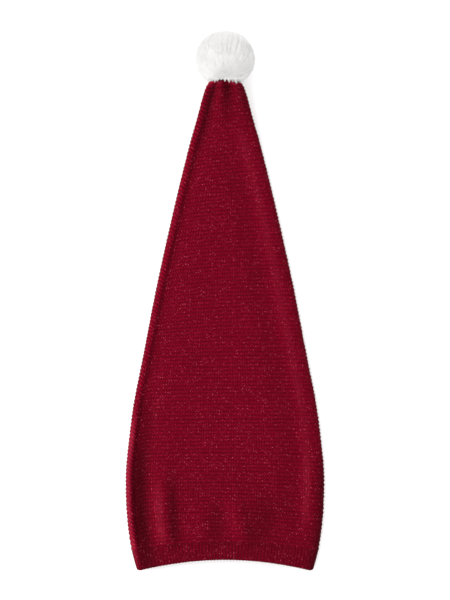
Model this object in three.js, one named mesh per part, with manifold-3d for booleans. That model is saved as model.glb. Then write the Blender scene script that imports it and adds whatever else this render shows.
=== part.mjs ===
// A long knitted gnome hat that lies flat: a garter-stitch crown, a ribbed band at its mouth
// and a fur pompom on its gathered tip.
// Millimetres. +Z is up and +Y runs from the mouth to the tip. The origin is on the surface
// that the hat lies on, under the middle of its outer box.
import * as THREE from "three";
import { ParametricGeometry } from "three/addons/geometries/ParametricGeometry.js";
import { mergeVertices } from "three/addons/utils/BufferGeometryUtils.js";
import Module from "manifold-3d";

const wasm = await Module();
wasm.setup();

// Driving dimensions of the crown
const crownLength = 627; // band to gathered tip, along the middle
const bodyWidth = 267; // across the fullest part, lying flat
const lyingHeight = 27; // thickness of the lying crown at its fullest
const edgeRoll = 15; // thickness of the soft roll along both sides
const knitWall = 4; // garter knit
const gatherDepth = 2.4; // height of the gathers at the tip

// Driving dimensions of the band
const mouthWidth = 240; // across the flat mouth, at the lower edge
const bandDepth = 24; // join to lower edge, along the middle
const hemRise = 16; // the lower edge stands this much higher in the middle than at its corners
const cornerRadius = 7; // rounding of the lower corners, seen from above
const bandCloth = 2.4; // ribbed knit, without the height of its ribs
const ribHeight = 1.2;
const ribPitch = 4.4;

// Driving dimensions of the pompom
const pompomDiameter = 81;
const lockReach = 8; // a lock stands this far out of the head
const lockRoot = 3; // and is rooted this deep in it
const lockWidth = 21;
const lockLean = 5; // sideways bend of a lock at its end
const lockSpacing = 18;
const tipSink = 19; // the crown's tip reaches this far into the fur

// Clearance between pieces that touch
const seatGap = 0.3;

// Shares that belong to the forms below
const shoulder = 0.16; // of bodyWidth: from the roll to the full height
const hollowEnd = 0.95; // of crownLength: the knit is drawn together beyond it
const gathersFrom = 0.87; // of crownLength, full from gathersFull
const gathersFull = 0.975;
const gathersEnd = 0.985; // they run together between here and the tip
const gatherPitch = 0.83; // of the half-width
const gatherPhase = 0.33; // of the half-width
const lineFade = 0.08; // of crownLength: over it an edge line begins and ends
const fluteBase = 0.025; // of crownLength: the flutes grow up from the band over it
const fluteFull = 0.35; // of a flute's reach: it fades beyond it
const neckRange = 0.86; // of crownLength: the pompom is cut to fit the crown from here up
const bunching = 0.4; // how far the columns of the mesh are drawn towards the rolls
const lockTurn = 2.4; // radians from one lock to the next, so that their bends differ
const neckPress = 0.87; // the pompom's side at the tip is pressed to this share
const neckHalfAngle = 44; // degrees round the tip that carry no lock

// Sections of the crown. at: share of crownLength. width: share of bodyWidth. thick: share of
// lyingHeight. lift: share of the tip's lift to the middle of the pompom. arch: share of hemRise.
const sections = [
  { at: 0, width: 0.944, thick: 0.86, lift: 0, arch: 0.75 },
  { at: 0.045, width: 0.98, thick: 0.93, lift: 0, arch: 0.54 },
  { at: 0.1, width: 1, thick: 1, lift: 0, arch: 0.35 },
  { at: 0.16, width: 1, thick: 1, lift: 0, arch: 0.22 },
  { at: 0.22, width: 0.972, thick: 1, lift: 0, arch: 0.15 },
  { at: 0.3, width: 0.922, thick: 0.98, lift: 0, arch: 0.1 },
  { at: 0.39, width: 0.838, thick: 0.93, lift: 0, arch: 0.07 },
  { at: 0.56, width: 0.682, thick: 0.84, lift: 0, arch: 0.05 },
  { at: 0.73, width: 0.503, thick: 0.77, lift: 0, arch: 0.03 },
  { at: 0.82, width: 0.4, thick: 0.75, lift: 0, arch: 0.02 },
  { at: 0.862, width: 0.349, thick: 0.76, lift: 0.1, arch: 0.01 },
  { at: 0.905, width: 0.29, thick: 0.78, lift: 0.32, arch: 0.01 },
  { at: 0.948, width: 0.235, thick: 0.8, lift: 0.63, arch: 0 },
  { at: 0.97, width: 0.203, thick: 0.76, lift: 0.79, arch: 0 },
  { at: 0.984, width: 0.17, thick: 0.64, lift: 0.89, arch: 0 },
  { at: 0.994, width: 0.11, thick: 0.46, lift: 0.96, arch: 0 },
  { at: 1, width: 0.055, thick: 0.3, lift: 1, arch: 0 },
];

// Soft lines that run beside an edge. edge: -1 left, 1 right. inset: share of bodyWidth from that
// edge. from, to: shares of crownLength. spread: share of bodyWidth. height: share of lyingHeight.
const edgeLines = [
  { name: "seam groove", edge: -1, inset: 0.048, from: -0.1, to: 0.94, spread: 0.018, height: -0.15 },
  { name: "low left valley", edge: -1, inset: 0.075, from: -0.04, to: 0.34, spread: 0.027, height: -0.2 },
  { name: "right fold", edge: 1, inset: 0.081, from: 0.0, to: 0.93, spread: 0.028, height: 0.1 },
  { name: "valley beside it", edge: 1, inset: 0.18, from: 0.02, to: 0.86, spread: 0.04, height: -0.06 },
];

// Flutes where the band draws the crown in. low, high: their place at the band and at their
// upper end, from -1 at the left edge to 1 at the right. reach: share of crownLength. spread:
// share of bodyWidth. height: share of lyingHeight.
const flutes = [
  { low: -0.65, high: -0.7, reach: 0.2, spread: 0.034, height: 0.12 },
  { low: -0.53, high: -0.55, reach: 0.16, spread: 0.028, height: -0.11 },
  { low: -0.33, high: -0.3, reach: 0.12, spread: 0.034, height: 0.08 },
  { low: -0.12, high: -0.06, reach: 0.12, spread: 0.028, height: -0.07 },
  { low: 0.15, high: 0, reach: 0.13, spread: 0.026, height: 0.1 },
  { low: 0.36, high: 0.42, reach: 0.14, spread: 0.05, height: -0.09 },
];

// Outline of a lock. along: share of its length from root to end. width: share of lockWidth.
const lockOutline = [
  { along: 0, width: 0 },
  { along: 0.02, width: 1 },
  { along: 0.5, width: 0.92 },
  { along: 0.84, width: 0.62 },
  { along: 1, width: 0 },
];
const lockSides = 5;

// Columns of the crown's mesh on each stretch of a ring, and its rows from one share to the next.
const columns = { top: 30, edge: 5, under: 8 };
const tipRows = { from: 1, to: neckRange, rows: 13 };
const outerRows = [
  tipRows,
  { from: neckRange, to: 0.2, rows: 14 },
  { from: 0.2, to: 0, rows: 9 },
];
const innerRows = [
  { from: 0, to: 0.2, rows: 4 },
  { from: 0.2, to: neckRange, rows: 6 },
  { from: neckRange, to: hollowEnd, rows: 3 },
];

// Heights and places that follow from the sizes
const pompomRadius = pompomDiameter / 2;
const pompomY = crownLength + pompomRadius - tipSink;
const endThickness = lyingHeight * sections.at(-1).thick;
const tipLift = pompomRadius - endThickness / 2;
const { clamp, lerp, smoothstep, degToRad } = THREE.MathUtils;

/** Reads one column of a table smoothly between its rows. */
function read(table, column, at) {
  const last = table.length - 1;
  const place = clamp(at, table[0].at, table[last].at);
  const i = Math.max(0, table.findLastIndex((row, k) => k < last && row.at <= place));
  const slope = (k) => {
    const before = table[Math.max(k - 1, 0)];
    const after = table[Math.min(k + 1, last)];
    return (after[column] - before[column]) / (after.at - before.at);
  };
  const span = table[i + 1].at - table[i].at;
  const t = (place - table[i].at) / span;
  const rise = table[i + 1][column] - table[i][column];
  const start = slope(i) * span;
  const end = slope(i + 1) * span;
  const curve = start * t + (3 * rise - 2 * start - end) * t * t + (start + end - 2 * rise) * t ** 3;
  return table[i][column] + curve;
}

const bump = (distance, spread) => Math.exp(-0.5 * (distance / spread) ** 2);

/** One section of the crown, in millimetres. */
function crownRing(at) {
  const height = lyingHeight * read(sections, "thick", at);
  const half = (bodyWidth * read(sections, "width", at)) / 2;
  return {
    at,
    half,
    height,
    roll: Math.min(edgeRoll, height, half) / 2,
    lift: tipLift * Math.max(0, read(sections, "lift", at)),
    arch: hemRise * Math.max(0, read(sections, "arch", at)),
    y: at * crownLength,
  };
}

/** A section of the band, from 0 at the join to 1 at the lower edge. */
function bandRing(share) {
  const join = crownRing(0);
  const depth = lerp(seatGap, bandDepth, share);
  return {
    ...join,
    at: -depth / crownLength,
    half: lerp(join.half, mouthWidth / 2, share),
    corner: cornerRadius * share,
    arch: lerp(join.arch, hemRise, share),
    y: -depth,
  };
}

/** Height of the soft forms on the upper side: edge lines, flutes and gathers. */
function relief(ring, x) {
  let height = 0;
  for (const line of edgeLines) {
    const inset = ring.half - line.edge * x;
    const begun = smoothstep(ring.at, line.from, line.from + lineFade);
    const ended = smoothstep(ring.at, line.to - lineFade, line.to);
    const across = bump(inset - line.inset * bodyWidth, line.spread * bodyWidth);
    height += lyingHeight * line.height * (begun - ended) * across;
  }
  for (const flute of flutes) {
    const share = clamp(ring.at / flute.reach, 0, 1);
    const centre = lerp(flute.low, flute.high, share) * ring.half;
    const along = smoothstep(ring.at, -fluteBase, fluteBase) * (1 - smoothstep(share, fluteFull, 1));
    height += lyingHeight * flute.height * along * bump(x - centre, flute.spread * bodyWidth);
  }
  return height + gathers(ring, x);
}

/** Height of the gathers that fan out from the tip. */
function gathers(ring, x) {
  const grow = smoothstep(ring.at, gathersFrom, gathersFull) * (1 - smoothstep(ring.at, gathersEnd, 1));
  const across = x / ring.half + gatherPhase;
  return gatherDepth * grow * Math.cos((2 * Math.PI * across) / gatherPitch);
}

/** Height of the upper side over the lift, between the two rolls. */
function topHeight(ring, x) {
  const inward = ring.half - ring.roll - Math.abs(x);
  const reach = Math.min(shoulder * bodyWidth, 0.8 * (ring.half - ring.roll));
  return 2 * ring.roll + (ring.height - 2 * ring.roll) * smoothstep(inward, 0, reach);
}

/**
 * A point of a ring. lap counts its four stretches: 0 to 1 the upper side from left to right,
 * to 2 the right roll, to 3 the flat underside and to 4 the left roll. inset moves it inwards.
 */
function ringPoint(ring, lap, inset, target) {
  const stretch = Math.floor(lap);
  const share = lap - stretch;
  const inner = ring.half - ring.roll;
  const radius = ring.roll - inset;
  let x;
  let z;
  if (stretch === 0) {
    x = inner * lerp(2 * share - 1, -Math.cos(Math.PI * share), bunching);
    z = topHeight(ring, x) + relief(ring, x) - inset;
  } else if (stretch === 2) {
    x = inner * (1 - 2 * share);
    z = inset;
  } else {
    const side = stretch === 1 ? 1 : -1;
    const angle = Math.PI * (stretch === 1 ? 0.5 - share : share - 0.5);
    x = side * (inner + radius * Math.cos(angle));
    z = ring.roll + radius * Math.sin(angle) + relief(ring, x) * Math.max(0, Math.sin(angle));
  }
  const across = x / ring.half;
  const corner = ring.corner ? roundedCorner(ring, Math.abs(x)) : 0;
  return target.set(x, ring.y - ring.arch * across * across + corner, ring.lift + z);
}

/** How far the lower corner of the band is rounded off at this place. */
function roundedCorner(ring, x) {
  const into = clamp((x - ring.half + ring.corner) / ring.corner, 0, 1);
  return ring.corner * (1 - Math.sqrt(1 - into * into));
}

/** A geometry with its seams and poles merged and without collapsed triangles. */
function closed(geometry) {
  const bare = new THREE.BufferGeometry();
  bare.setAttribute("position", geometry.getAttribute("position"));
  bare.setIndex(geometry.index);
  const merged = mergeVertices(bare, 1e-3);
  const index = merged.index.array;
  const kept = [];
  for (let i = 0; i < index.length; i += 3) {
    const [a, b, c] = index.slice(i, i + 3);
    if (a !== b && b !== c && c !== a) kept.push(a, b, c);
  }
  merged.setIndex(kept);
  return merged;
}

/** A closed sheet of rings: laps go round, and each row is a ring with its inset, or a pole. */
function ringSheet(laps, rows, insetOf) {
  const point = (u, v, target) => {
    const column = Math.round((1 - u) * laps.length) % laps.length;
    const row = rows[Math.round(v * (rows.length - 1))];
    if (row.pole) target.copy(row.pole);
    else ringPoint(row.ring, laps[column], row.inset + insetOf(column), target);
  };
  return closed(new ParametricGeometry(point, laps.length, rows.length - 1));
}

/** The shares at which the crown has its rows. */
function shares(spans) {
  const list = [spans[0].from];
  for (const { from, to, rows } of spans) {
    for (let i = 1; i <= rows; i++) list.push(lerp(from, to, i / rows));
  }
  return list;
}

/** The middle point of a ring. */
const middle = (ring) => new THREE.Vector3(0, ring.y, ring.lift + ring.height / 2);

/** The places round a crown ring, closest together beside the rolls. */
function crownLaps() {
  const counts = [columns.top, columns.edge, columns.under, columns.edge];
  return counts.flatMap((count, stretch) => Array.from({ length: count }, (_, i) => stretch + i / count));
}

/** The garter-knit crown: outer side, hem, inner side, closed at the tip. */
function crownGeometry() {
  const outer = shares(outerRows).map((at) => ({ ring: crownRing(at), inset: 0 }));
  const inner = shares(innerRows).map((at) => ({ ring: crownRing(at), inset: knitWall }));
  const rows = [{ pole: middle(crownRing(1)) }, ...outer, ...inner, { pole: middle(crownRing(hollowEnd)) }];
  return ringSheet(crownLaps(), rows, () => 0);
}

/** The ribbed band. Its cloth is folded in and out rib by rib, alike inside and outside. */
function bandGeometry() {
  const ring = bandRing(0.5);
  const straight = 2 * (ring.half - ring.roll);
  const bend = Math.PI * ring.roll;
  const ribs = 2 * Math.round((straight + bend) / ribPitch);
  const ends = [straight, straight + bend, 2 * straight + bend, 2 * (straight + bend)];
  const laps = Array.from({ length: 2 * ribs }, (_, i) => {
    const length = (i / (2 * ribs)) * ends[3];
    const stretch = ends.findIndex((end) => length < end);
    const start = stretch ? ends[stretch - 1] : 0;
    return stretch + (length - start) / (ends[stretch] - start);
  });
  const outer = [0, 0.5, 1].map((share) => ({ ring: bandRing(share), inset: 0 }));
  const inner = [1, 0.5, 0].map((share) => ({ ring: bandRing(share), inset: bandCloth }));
  return ringSheet(laps, [...outer, ...inner, outer[0]], (column) => (column % 2) * ribHeight);
}

/** A closed geometry as a solid that can be joined and cut. */
function solidOf(geometry) {
  const bare = closed(geometry);
  return new wasm.Manifold(
    new wasm.Mesh({
      numProp: 3,
      vertProperties: new Float32Array(bare.getAttribute("position").array),
      triVerts: new Uint32Array(bare.index.array),
    }),
  );
}

/** A solid as a geometry again. */
function geometryOf(solid) {
  const mesh = solid.getMesh();
  const geometry = new THREE.BufferGeometry();
  geometry.setAttribute("position", new THREE.BufferAttribute(mesh.vertProperties, 3));
  geometry.setIndex(new THREE.BufferAttribute(mesh.triVerts, 1));
  return geometry;
}

/** The end of the crown, larger by the seat's gap: what the pompom is cut away for. */
function tipPlug() {
  const rings = shares([tipRows]).map((at) => ({ ring: crownRing(at), inset: -seatGap }));
  rings[0].ring.y += seatGap;
  const [end, foot] = [rings[0], rings.at(-1)].map(({ ring }) => ({ pole: middle(ring) }));
  return ringSheet(crownLaps(), [end, ...rings, foot], () => 0);
}

/** One lock of fur: a blunt tuft with its root in the head and its end on the outer sphere. */
function lock(direction, turn, lean) {
  const root = pompomRadius - lockReach - lockRoot;
  const length = Math.sqrt(pompomRadius ** 2 - lean ** 2) - root;
  const outline = lockOutline.map(({ along, width }) => {
    return new THREE.Vector2((width * lockWidth) / 2, along * length);
  });
  const geometry = new THREE.LatheGeometry(outline, lockSides);
  const position = geometry.getAttribute("position");
  for (let i = 0; i < position.count; i++) {
    const share = position.getY(i) / length;
    position.setX(i, position.getX(i) + lean * share * share);
  }
  geometry.translate(0, root, 0);
  geometry.rotateY(turn);
  const up = new THREE.Vector3(0, 1, 0);
  return geometry.applyQuaternion(new THREE.Quaternion().setFromUnitVectors(up, direction));
}

/** The directions of the locks, in rings round the pompom from its lowest to its highest. */
function lockDirections() {
  const steps = Math.round((Math.PI * pompomRadius) / lockSpacing);
  const upwards = new THREE.Euler(Math.PI / 2, 0, 0);
  const directions = [];
  for (let i = 0; i <= steps; i++) {
    const polar = Math.PI * (1 - i / steps);
    const count = Math.max(1, Math.round((2 * Math.PI * pompomRadius * Math.sin(polar)) / lockSpacing));
    for (let k = 0; k < count; k++) {
      const round = (2 * Math.PI * (k + 0.5 * (i % 2))) / count;
      directions.push(new THREE.Vector3().setFromSphericalCoords(1, polar, round).applyEuler(upwards));
    }
  }
  const toTip = new THREE.Vector3(0, -1, 0);
  return directions.filter((direction) => direction.angleTo(toTip) > degToRad(neckHalfAngle));
}

/** The pompom: a head with its locks fused to it, pressed flatter at the neck, seated on the tip. */
function pompomGeometry() {
  let solid = solidOf(new THREE.IcosahedronGeometry(pompomRadius - lockReach, 3));
  lockDirections().forEach((direction, i) => {
    const lean = i === 0 ? 0 : lockLean; // the lowest lock stands straight on the surface
    solid = solid.add(solidOf(lock(direction, i * lockTurn, lean)));
  });
  const geometry = geometryOf(solid);
  const position = geometry.getAttribute("position");
  for (let i = 0; i < position.count; i++) {
    const y = position.getY(i);
    position.setY(i, y < 0 ? y * neckPress : y);
  }
  geometry.translate(0, pompomY, pompomRadius);
  return geometryOf(solidOf(geometry).subtract(solidOf(tipPlug())));
}

/** A named piece with its own material. */
function piece(name, geometry, color, roughness) {
  geometry.computeVertexNormals();
  const mesh = new THREE.Mesh(geometry, new THREE.MeshStandardMaterial({ color, roughness, metalness: 0 }));
  mesh.name = name;
  return mesh;
}

const hat = new THREE.Group();
hat.add(piece("crown", crownGeometry(), 0x750b22, 0.85));
hat.add(piece("rib_band", bandGeometry(), 0x6d0820, 0.85));
hat.add(piece("pompom", pompomGeometry(), 0xe9e7e3, 0.95));

// The origin lies under the middle of the outer box.
const box = new THREE.Box3().setFromObject(hat, true);
const centre = box.getCenter(new THREE.Vector3());
hat.position.set(-centre.x, -centre.y, -box.min.z);

export default hat;
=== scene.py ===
"""The looks of a long knitted gnome hat that lies flat on a pale floor.

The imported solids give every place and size. The garter knit, the ribbed band and the fur of the
pompom are modelled here over the same soft form that the solids have.
Metres. +Z is up and +Y runs from the mouth of the hat to its pompom.
"""

from __future__ import annotations

import logging
import math
from dataclasses import dataclass
from enum import Enum

import bmesh
import bpy
import numpy as np
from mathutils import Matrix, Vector


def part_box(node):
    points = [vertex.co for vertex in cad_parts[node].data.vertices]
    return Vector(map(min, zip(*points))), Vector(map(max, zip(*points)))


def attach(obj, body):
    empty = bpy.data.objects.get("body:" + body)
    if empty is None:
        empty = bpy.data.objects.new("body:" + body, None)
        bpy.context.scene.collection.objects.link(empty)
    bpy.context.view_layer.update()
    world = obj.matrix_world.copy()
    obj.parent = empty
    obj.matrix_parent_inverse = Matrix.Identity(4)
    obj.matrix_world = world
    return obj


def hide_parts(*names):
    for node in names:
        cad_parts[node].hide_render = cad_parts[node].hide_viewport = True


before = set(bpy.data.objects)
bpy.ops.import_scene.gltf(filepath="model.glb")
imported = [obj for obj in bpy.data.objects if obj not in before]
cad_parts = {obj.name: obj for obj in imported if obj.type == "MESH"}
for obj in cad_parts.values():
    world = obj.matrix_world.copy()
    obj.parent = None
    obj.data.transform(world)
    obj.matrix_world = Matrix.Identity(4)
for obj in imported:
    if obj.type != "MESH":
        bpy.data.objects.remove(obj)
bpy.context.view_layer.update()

log = logging.getLogger("gnome_hat")
Array = np.ndarray
Colour = tuple[float, float, float]
Direction = tuple[float, float, float]
Span = tuple[float, float]
BODY = "root"
MERGE = 1e-6
TINY = 1e-12
SHARP = math.radians(70)
GOLDEN_ANGLE = math.pi * (3 - math.sqrt(5))
DEPTH = "depth"
# The point values named fold hold the painted light and shade of the folds.
PAINTED_LIGHT_LAYER = "fold"
SEAM = "seam"
KNIT_MAP = "knit"

# Places round a section, as laps: the upper side from left to right is 0 to 1, the right roll to 2,
# the underside to 3 and the left roll to 4.
TOP_END = 1.0
RIGHT_MIDDLE = 1.5
LEFT_MIDDLE = 3.5
LAPS = 4


class Edge(Enum):
    """The two long edges of the lying hat."""

    LEFT = -1
    RIGHT = 1


class Trait(Enum):
    """What a fold gives: a height on the cloth, or painted light and shade on its yarn."""

    HEIGHT = "height"
    TONE = "tone"


class Slot(Enum):
    """The material slots of the record."""

    GARTER = "garter_knit"
    RIB = "rib_knit"
    FUR = "pompom_fur"


def smoothstep(value: Array, low: float, high: float) -> Array:
    """Rises smoothly from 0 at low to 1 at high.

    Args:
        value: Where to read the step.
        low: The step is 0 up to here.
        high: The step is 1 from here.

    Returns:
        The height of the step at each value.
    """
    share = np.clip((value - low) / (high - low), 0.0, 1.0)
    return share * share * (3.0 - 2.0 * share)


def bump(distance: Array, spread: float) -> Array:
    """A soft round hill: 1 at distance 0, fading over the spread."""
    return np.exp(-0.5 * (distance / spread) ** 2)


def wave(turns: Array) -> Array:
    """A wave between 0 and 1, with its crests at whole turns."""
    return 0.5 + 0.5 * np.cos(2 * math.pi * turns)


def lerp(start: Array, end: Array, share: Array) -> Array:
    """The value at a share of the way from start to end."""
    return start + (end - start) * share


def unit(vectors: Array) -> Array:
    """The vectors at length 1, with zero vectors left as they are."""
    length = np.linalg.norm(vectors, axis=-1, keepdims=True)
    return vectors / np.maximum(length, TINY)


def angles(directions: Array, axis: Direction) -> Array:
    """The angle between each direction and an axis."""
    return np.arccos(np.clip(directions @ unit(np.array(axis)), -1, 1))


class Table:
    """A short table with named columns, read smoothly between its rows."""

    def __init__(self, columns: tuple[str, ...], rows: tuple[tuple[float, ...], ...]) -> None:
        """Keeps the columns.

        Args:
            columns: The names of the columns; the first one is "at".
            rows: The rows, in the order of their "at".
        """
        self._columns = {name: np.array([row[i] for row in rows]) for i, name in enumerate(columns)}

    def read(self, column: str, at: Array) -> Array:
        """Reads one column along a cubic curve through its rows.

        Args:
            column: The name of the column.
            at: The places to read it at.

        Returns:
            The value at each place.
        """
        places = self._columns["at"]
        values = self._columns[column]
        before = np.maximum(np.arange(len(places)) - 1, 0)
        after = np.minimum(np.arange(len(places)) + 1, len(places) - 1)
        slopes = (values[after] - values[before]) / (places[after] - places[before])
        place = np.clip(at, places[0], places[-1])
        i = np.clip(np.searchsorted(places, place, side="right") - 1, 0, len(places) - 2)
        span = places[i + 1] - places[i]
        t = (place - places[i]) / span
        rise = values[i + 1] - values[i]
        start = slopes[i] * span
        end = slopes[i + 1] * span
        return values[i] + start * t + (3 * rise - 2 * start - end) * t * t + (start + end - 2 * rise) * t**3


# Sections of the crown. at: share of its length. width, thick: shares of the body width and the
# lying height. lift: share of the tip's lift. arch: share of the hem's rise.
SECTIONS = Table(
    ("at", "width", "thick", "lift", "arch"),
    (
        (0.0, 0.944, 0.86, 0.0, 0.75),
        (0.045, 0.98, 0.93, 0.0, 0.54),
        (0.1, 1.0, 1.0, 0.0, 0.35),
        (0.16, 1.0, 1.0, 0.0, 0.22),
        (0.22, 0.972, 1.0, 0.0, 0.15),
        (0.3, 0.922, 0.98, 0.0, 0.1),
        (0.39, 0.838, 0.93, 0.0, 0.07),
        (0.56, 0.682, 0.84, 0.0, 0.05),
        (0.73, 0.503, 0.77, 0.0, 0.03),
        (0.82, 0.4, 0.75, 0.0, 0.02),
        (0.862, 0.349, 0.76, 0.1, 0.01),
        (0.905, 0.29, 0.78, 0.32, 0.01),
        (0.948, 0.235, 0.8, 0.63, 0.0),
        (0.97, 0.203, 0.76, 0.79, 0.0),
        (0.984, 0.17, 0.64, 0.89, 0.0),
        (0.994, 0.11, 0.46, 0.96, 0.0),
        (1.0, 0.055, 0.3, 1.0, 0.0),
    ),
)

# Lie of the garter ridges, in degrees, more where they fall to the right. middle: on the middle
# line. spread: how much more at the right edge, and less at the left one. groove: how steeply they
# rise out of the seam's groove.
RIDGE_LIE = Table(
    ("at", "middle", "spread", "groove"),
    (
        (0.0, 0.0, 10.9, 0.0),
        (0.03, 0.3, 8.5, 16.0),
        (0.1, 0.7, 5.0, 18.0),
        (0.2, 0.0, 2.5, 15.0),
        (0.3, -0.5, 1.3, 9.0),
        (0.4, -0.8, 1.5, 5.0),
        (0.5, -2.6, 4.0, 4.0),
        (0.6, -3.2, 4.2, 4.0),
        (0.7, -4.5, 2.8, 4.0),
        (0.8, -5.0, 2.0, 4.0),
        (0.9, -6.8, 2.5, 4.0),
        (0.96, -7.0, 1.5, 3.0),
        (1.0, 0.0, 0.0, 0.0),
    ),
)


@dataclass(frozen=True)
class EdgeLine:
    """A soft line beside an edge of the crown.

    The inset and spread are shares of the body width, start and end of the crown's length, the
    height of the lying height and the tone of the yarn's brightness, which is painted light above 0
    and painted shade below 0.
    """

    edge: Edge
    inset: float
    start: float
    end: float
    spread: float
    height: float
    tone: float


@dataclass(frozen=True)
class Flute:
    """A soft fold that stands up from the band.

    Low and high are its places there and at its upper end, from -1 left to 1 right. The reach is a
    share of the crown's length, the spread of the body width, the height of the lying height and
    the tone of the yarn's brightness, which is painted light above 0 and painted shade below 0.
    """

    low: float
    high: float
    reach: float
    spread: float
    height: float
    tone: float


# Their tones are painted light on the rolls and folds that face the light and painted shade in the grooves
# and along the right edge, which faces away from it.
EDGE_LINES = (
    EdgeLine(Edge.LEFT, inset=0.048, start=-0.1, end=0.94, spread=0.018, height=-0.15, tone=-0.12),
    EdgeLine(Edge.LEFT, inset=0.075, start=-0.04, end=0.34, spread=0.027, height=-0.2, tone=-0.22),
    EdgeLine(Edge.LEFT, inset=0.078, start=-0.12, end=0.24, spread=0.028, height=0.0, tone=-0.3),
    EdgeLine(Edge.LEFT, inset=0.012, start=-0.1, end=1.08, spread=0.012, height=0.0, tone=0.15),
    EdgeLine(Edge.LEFT, inset=0.012, start=-0.06, end=0.3, spread=0.012, height=0.0, tone=0.44),
    EdgeLine(Edge.LEFT, inset=0.044, start=0.8, end=1.06, spread=0.02, height=0.0, tone=-0.24),
    EdgeLine(Edge.LEFT, inset=0.012, start=0.92, end=1.08, spread=0.012, height=0.0, tone=0.26),
    EdgeLine(Edge.RIGHT, inset=0.075, start=0.92, end=1.08, spread=0.024, height=0.0, tone=-0.28),
    EdgeLine(Edge.RIGHT, inset=0.081, start=0.0, end=0.93, spread=0.028, height=0.1, tone=0.17),
    EdgeLine(Edge.RIGHT, inset=0.1, start=-0.02, end=0.22, spread=0.026, height=0.0, tone=0.12),
    EdgeLine(Edge.RIGHT, inset=0.18, start=0.02, end=0.86, spread=0.04, height=-0.06, tone=-0.1),
    EdgeLine(Edge.RIGHT, inset=0.0, start=-0.1, end=0.97, spread=0.02, height=0.0, tone=-0.3),
    EdgeLine(Edge.RIGHT, inset=0.016, start=-0.12, end=0.22, spread=0.026, height=0.0, tone=-0.26),
)

# Their tones are painted light on the flutes that face the light and painted shade in the hollows between
# them.
FLUTES = (
    Flute(low=-0.65, high=-0.7, reach=0.2, spread=0.034, height=0.12, tone=0.32),
    Flute(low=-0.53, high=-0.53, reach=0.2, spread=0.022, height=-0.11, tone=-0.46),
    Flute(low=-0.33, high=-0.3, reach=0.12, spread=0.034, height=0.08, tone=0.12),
    Flute(low=-0.12, high=-0.06, reach=0.12, spread=0.028, height=-0.07, tone=-0.18),
    Flute(low=0.15, high=0.0, reach=0.13, spread=0.026, height=0.1, tone=0.2),
    Flute(low=0.27, high=0.12, reach=0.14, spread=0.018, height=0.0, tone=-0.14),
    Flute(low=0.36, high=0.42, reach=0.14, spread=0.05, height=-0.09, tone=-0.24),
)


@dataclass(frozen=True)
class Ring:
    """Sections of the hat, as arrays: one value for each point that is worked out."""

    at: Array
    half: Array
    height: Array
    roll: Array
    lift: Array
    arch: Array
    y: Array
    corner: Array | float = 0.0

    @property
    def girth(self) -> Array:
        """The way round each section."""
        return 4 * (self.half - self.roll) + 2 * math.pi * self.roll

    def stretches(self) -> tuple[float, float]:
        """The lengths of a flat side and of a roll of the first section."""
        return 2 * float(self.half[0] - self.roll[0]), math.pi * float(self.roll[0])


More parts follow.
